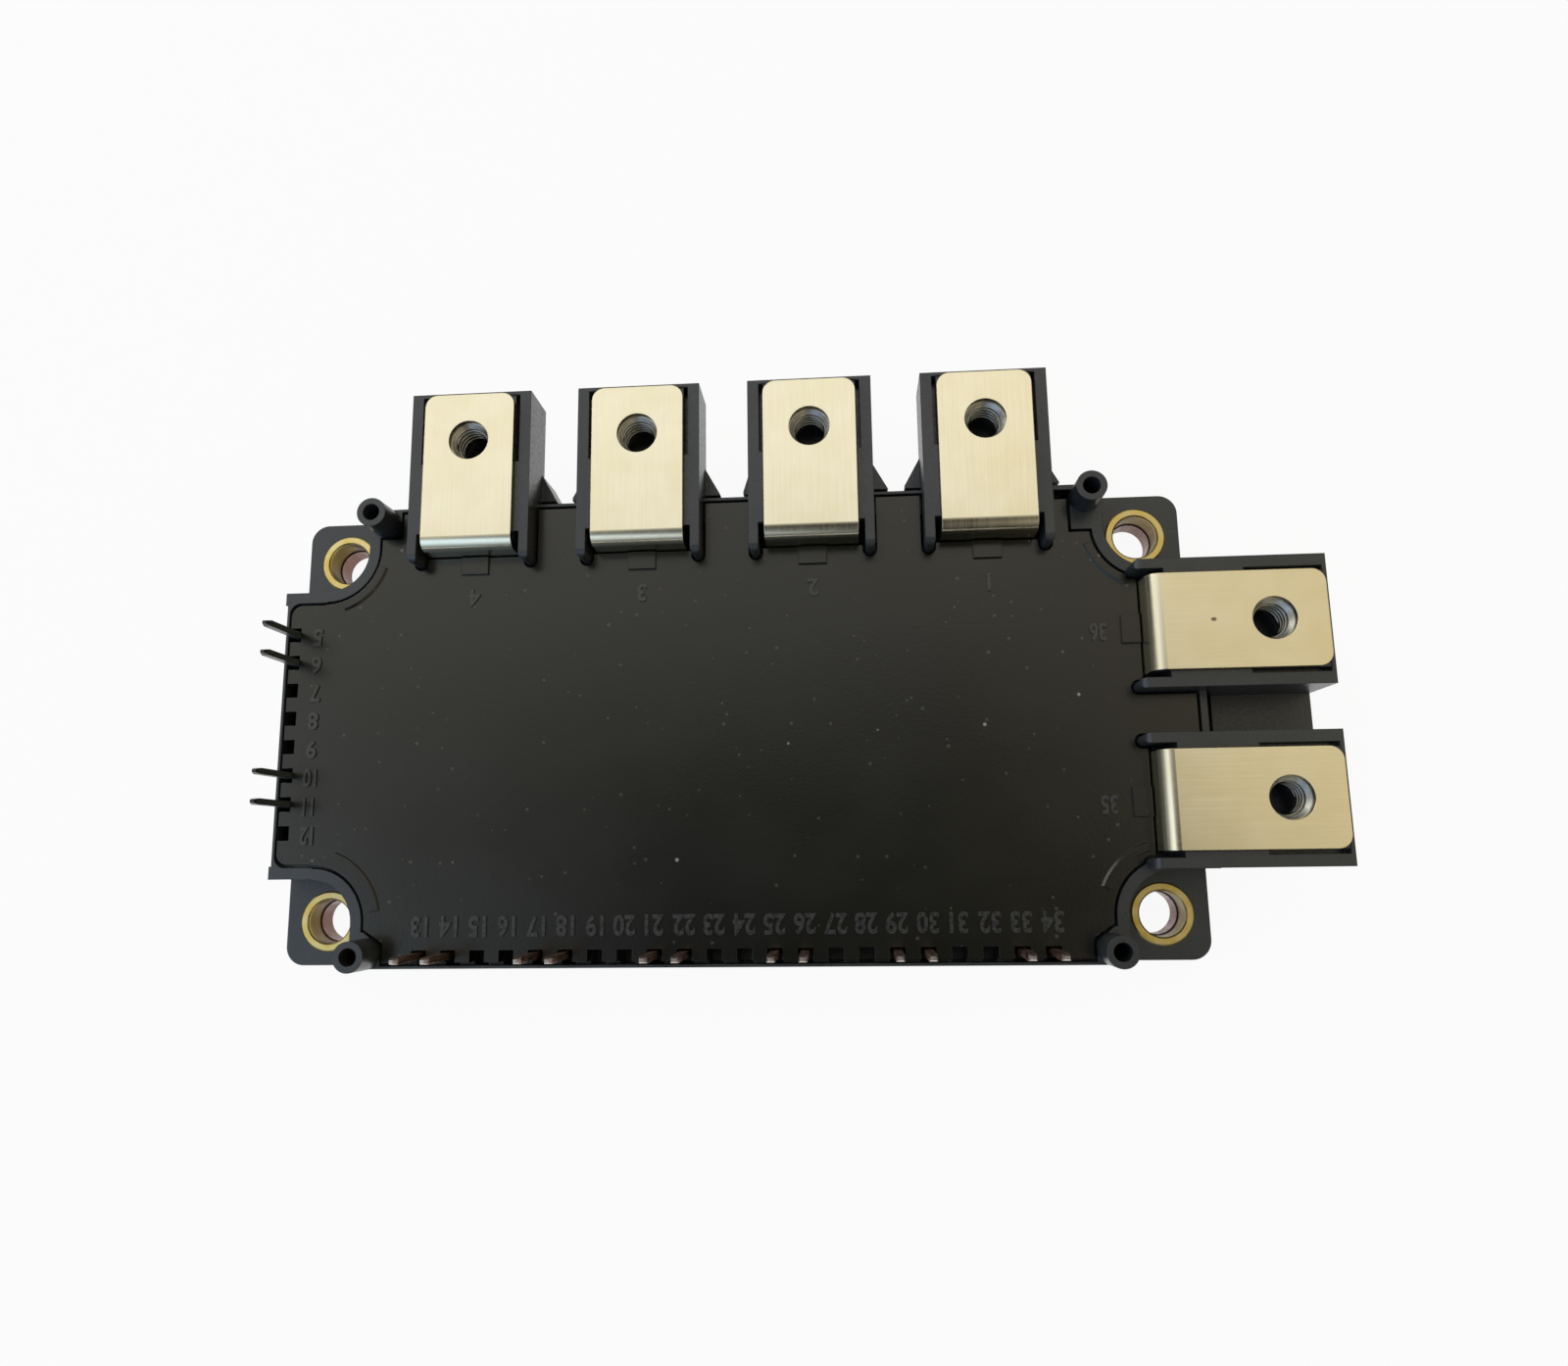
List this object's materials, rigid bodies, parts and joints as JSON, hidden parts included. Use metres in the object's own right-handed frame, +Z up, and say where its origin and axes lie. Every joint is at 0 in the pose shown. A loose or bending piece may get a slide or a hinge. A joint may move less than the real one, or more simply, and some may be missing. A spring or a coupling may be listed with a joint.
{
  "type": "igbt module",
  "caption": "Flat power semiconductor module: copper base plate, moulded case with inset lid, screw terminals on two sides over overhanging nut blocks, and solder pins along the other sides.",
  "frame": {"origin": "middle of the four mounting holes, on the underside of the base plate", "axes": "+X along the length towards the pair of terminals, +Y towards the row of four terminals, +Z up from the heat sink towards the circuit board"},
  "size_m": [0.136, 0.0765, 0.0208],
  "materials": {
    "copper": "satin",
    "case_plastic": "matt",
    "lid_plastic": "matt",
    "yellow_steel": "satin",
    "nickel_plate": "satin",
    "nut_steel": "satin",
    "tinned_copper": "satin",
    "bare_copper": "satin",
    "alumina": "matt",
    "silicon": "satin",
    "thermistor_black": "matt",
    "aluminium_wire": "satin",
    "silicone": "gloss"
  },
  "bodies": {
    "root": {"base_plate": "copper", "housing": "case_plastic", "lid": "lid_plastic", "bushing_1": "yellow_steel", "bushing_2": "yellow_steel", "bushing_3": "yellow_steel", "bushing_4": "yellow_steel", "terminal_1": "nickel_plate", "terminal_2": "nickel_plate", "terminal_3": "nickel_plate", "terminal_4": "nickel_plate", "terminal_p": "nickel_plate", "terminal_n": "nickel_plate", "nut_1": "nut_steel", "nut_2": "nut_steel", "nut_3": "nut_steel", "nut_4": "nut_steel", "nut_p": "nut_steel", "nut_n": "nut_steel", "pin_05": "tinned_copper", "pin_06": "tinned_copper", "pin_10": "tinned_copper", "pin_11": "tinned_copper", "pin_13": "tinned_copper", "pin_14": "tinned_copper", "pin_17": "tinned_copper", "pin_18": "tinned_copper", "pin_21": "tinned_copper", "pin_22": "tinned_copper", "pin_25": "tinned_copper", "pin_26": "tinned_copper", "pin_29": "tinned_copper", "pin_30": "tinned_copper", "pin_33": "tinned_copper", "pin_34": "tinned_copper", "foil_left": "bare_copper", "foil_middle": "bare_copper", "foil_right": "bare_copper", "ceramic_left": "alumina", "ceramic_middle": "alumina", "ceramic_right": "alumina", "tracks_left": "bare_copper", "tracks_middle": "bare_copper", "tracks_right": "bare_copper", "igbt_chips": "silicon", "diode_chips": "silicon", "thermistor": "thermistor_black", "bond_wires": "aluminium_wire", "gel": "silicone"}
  },
  "joints": []
}
